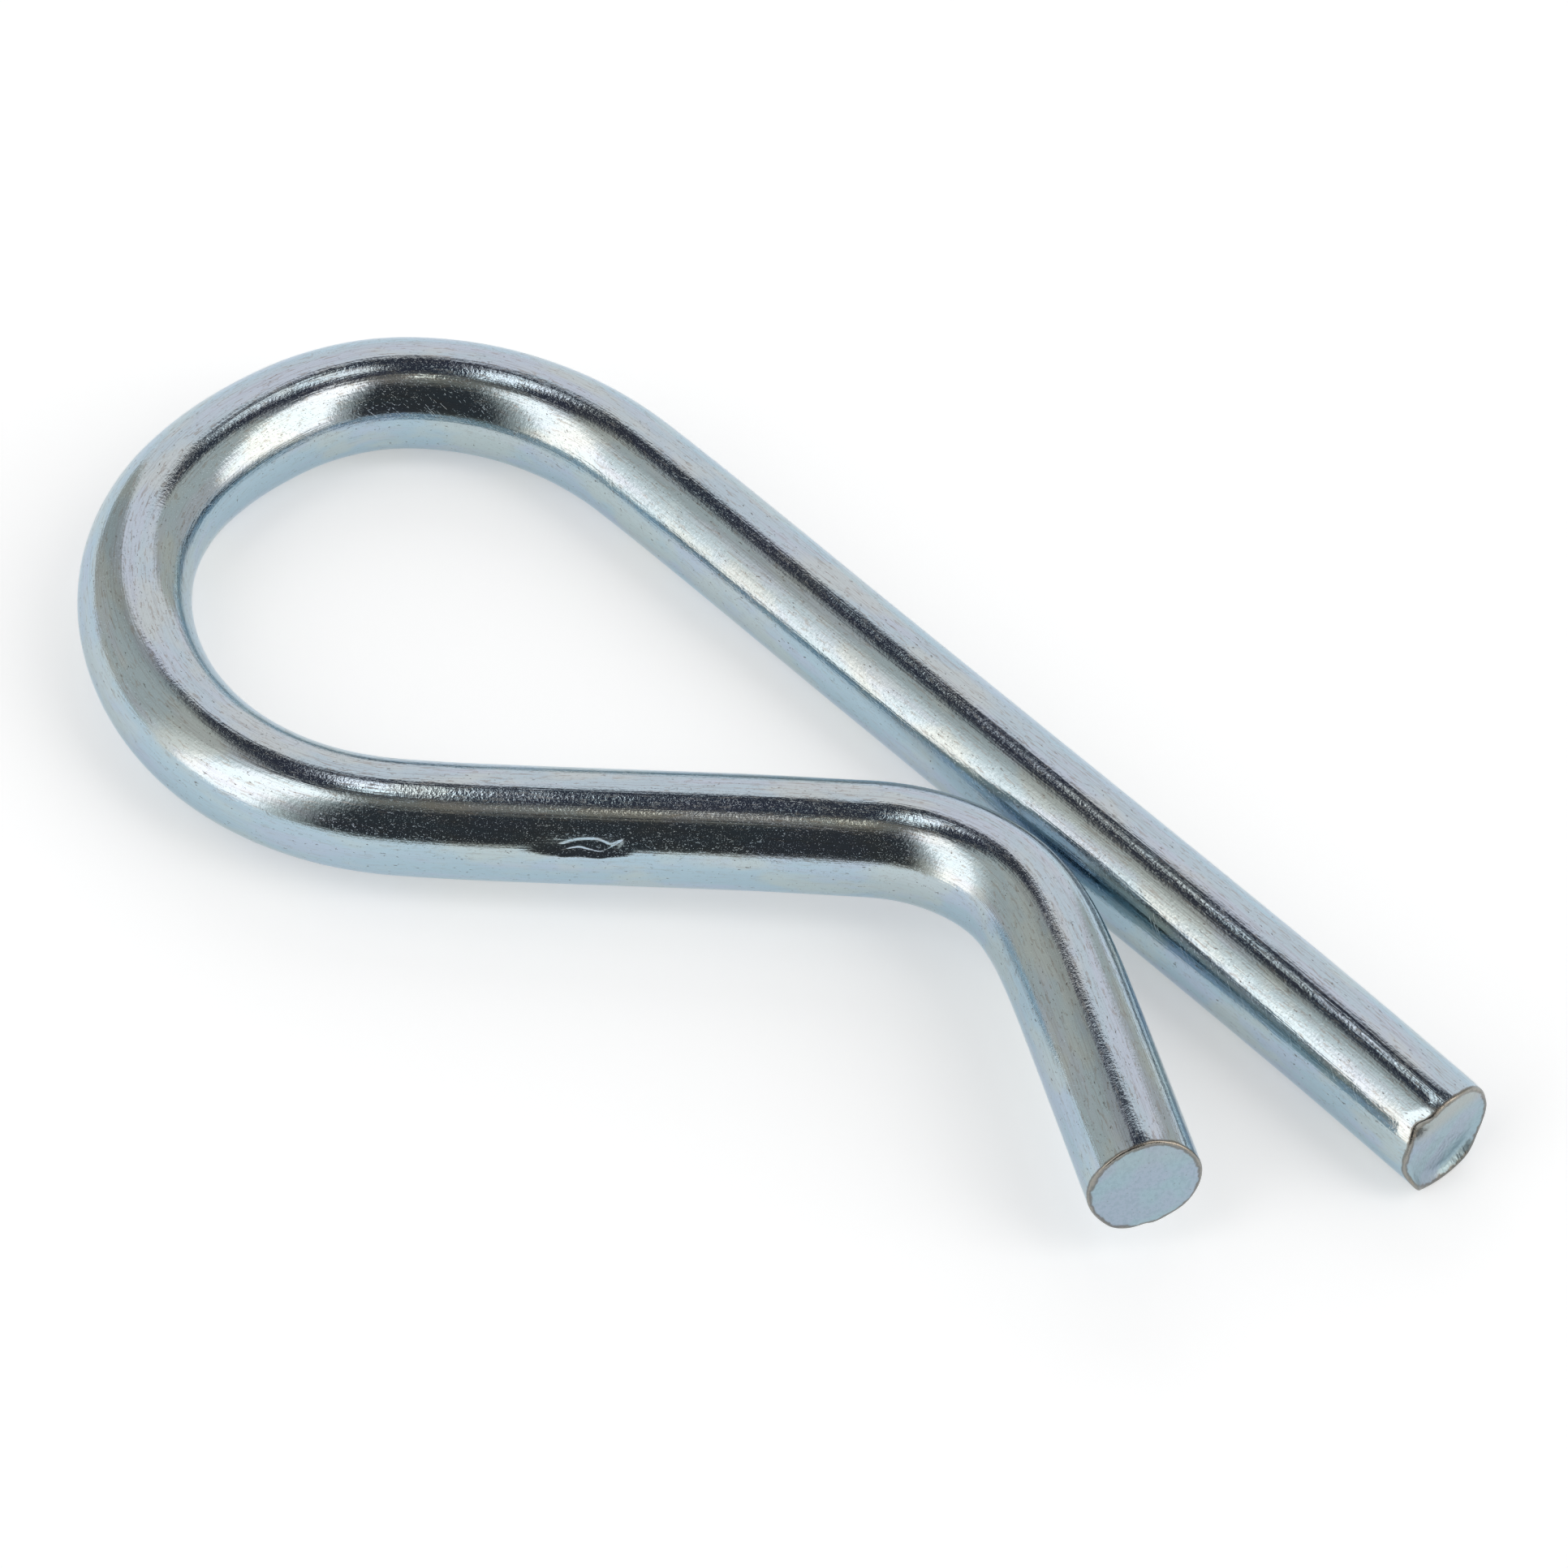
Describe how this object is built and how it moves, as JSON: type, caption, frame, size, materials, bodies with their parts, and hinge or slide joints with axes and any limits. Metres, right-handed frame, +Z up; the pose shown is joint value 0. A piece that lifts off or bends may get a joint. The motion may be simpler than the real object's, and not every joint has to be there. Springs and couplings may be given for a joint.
{
  "type": "hitch clip",
  "caption": "Spring wire hitch clip: a straight shank, an open teardrop loop and an arm that pinches in beside the shank and ends in a flared tail.",
  "frame": {"origin": "middle of the underside of the clip as it lies on a surface", "axes": "+X along the shank towards its cut end, +Y from the arm towards the shank, +Z up"},
  "size_m": [0.0652, 0.0302, 0.0069],
  "materials": {
    "zinc": "bright zinc plate over drawn wire, faint blue and lavender sheen, fine draw lines, brown specks and stained cut edges"
  },
  "bodies": {
    "root": {"clip": "zinc"}
  },
  "joints": []
}
